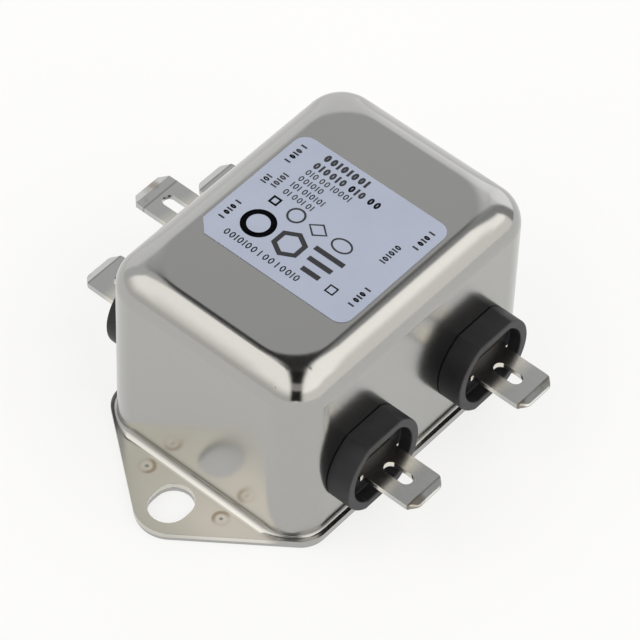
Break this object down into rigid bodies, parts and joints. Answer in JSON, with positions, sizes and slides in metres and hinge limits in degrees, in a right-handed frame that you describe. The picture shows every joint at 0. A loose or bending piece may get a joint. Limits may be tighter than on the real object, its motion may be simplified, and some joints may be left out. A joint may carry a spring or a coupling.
{
  "type": "emi line filter",
  "caption": "Chassis-mounted mains filter in a drawn steel can on a flat base plate with slotted ears, with quick-connect tabs in round insulating bushes and an earth tab.",
  "frame": {"origin": "centre of the base plate's underside, midway between the two mounting slots", "axes": "+X through the mounting ears, -Y out of the load terminals, +Y out of the line terminals and the earth tab, +Z from the mounting surface to the can's flat top"},
  "size_m": [0.0636, 0.0559, 0.0296],
  "materials": {
    "can_steel": "satin nickel plate",
    "plate_steel": "satin nickel plate",
    "label_film": "matt polyester film with dark print",
    "bush_plastic": "fine-textured black moulding",
    "tab_metal": "tinned, satin",
    "liner_card": "pressboard",
    "resin": "cast epoxy",
    "ferrite": "sintered, matt",
    "case_plastic": "natural moulding",
    "copper": "enamelled",
    "capacitor_case": "moulded box",
    "resistor_body": "lacquered"
  },
  "bodies": {
    "root": {"can": "can_steel", "base_plate": "plate_steel", "label": "label_film", "insulating_liner": "liner_card", "sealing_resin": "resin", "choke_ferrite": "ferrite", "choke_core_case": "case_plastic", "choke_case_lid": "case_plastic", "choke_divider": "case_plastic", "choke_winding_n": "copper", "choke_winding_p": "copper", "line_capacitor": "capacitor_case", "load_capacitor": "capacitor_case", "bleed_resistor": "resistor_body", "earth_tab": "tab_metal", "load_bush_n": "bush_plastic", "load_tab_n": "tab_metal", "load_bush_p": "bush_plastic", "load_tab_p": "tab_metal", "line_bush_n": "bush_plastic", "line_tab_n": "tab_metal", "line_bush_p": "bush_plastic", "line_tab_p": "tab_metal"}
  },
  "joints": []
}
